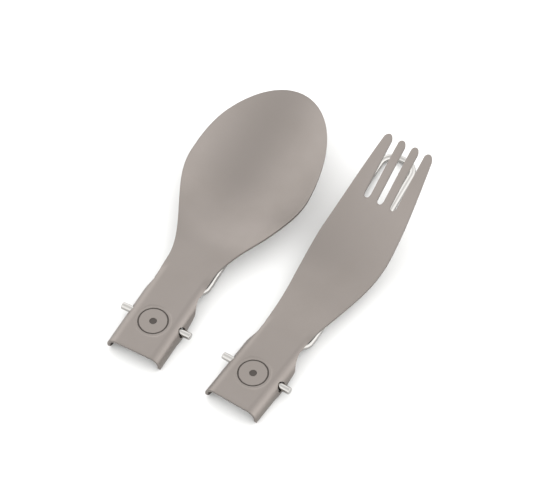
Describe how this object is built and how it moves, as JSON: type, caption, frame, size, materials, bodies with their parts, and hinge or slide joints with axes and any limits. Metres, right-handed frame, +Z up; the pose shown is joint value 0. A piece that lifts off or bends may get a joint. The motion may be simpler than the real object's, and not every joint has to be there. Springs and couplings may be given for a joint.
{
  "type": "folding picnic cutlery",
  "caption": "Spoon and fork with pressed metal heads, each with a bent wire handle that folds under the head and swings back to open.",
  "frame": {"origin": "middle of the set's footprint, on the surface that it rests on", "axes": "+Y along the spoon from its channel end to its bowl, +X from the spoon to the fork, +Z up"},
  "size_m": [0.0708, 0.1076, 0.0253],
  "materials": {
    "head_sheet": "bead-blasted, satin",
    "handle_wire": "polished"
  },
  "bodies": {
    "spoon": {"spoon_head": "head_sheet"},
    "spoon_handle": {"spoon_handle": "handle_wire"},
    "fork": {"fork_head": "head_sheet"},
    "fork_handle": {"fork_handle": "handle_wire"}
  },
  "joints": [
    {"name": "spoon_fold", "type": "hinge", "parent": "spoon", "child": "spoon_handle", "pos_m": [-0.01543, -0.03825, 0.00316], "axis": [-1, 0, 0], "range_deg": [0, 176.5]},
    {"name": "fork_lift", "type": "slide", "parent": "spoon", "child": "fork", "axis": [0, 0, 1], "range_m": [0, 0.12]},
    {"name": "fork_fold", "type": "hinge", "parent": "fork", "child": "fork_handle", "pos_m": [0.0192, -0.03992, 0.00307], "axis": [-0.9977, 0.068, -0.0005], "range_deg": [0, 176.5]}
  ]
}
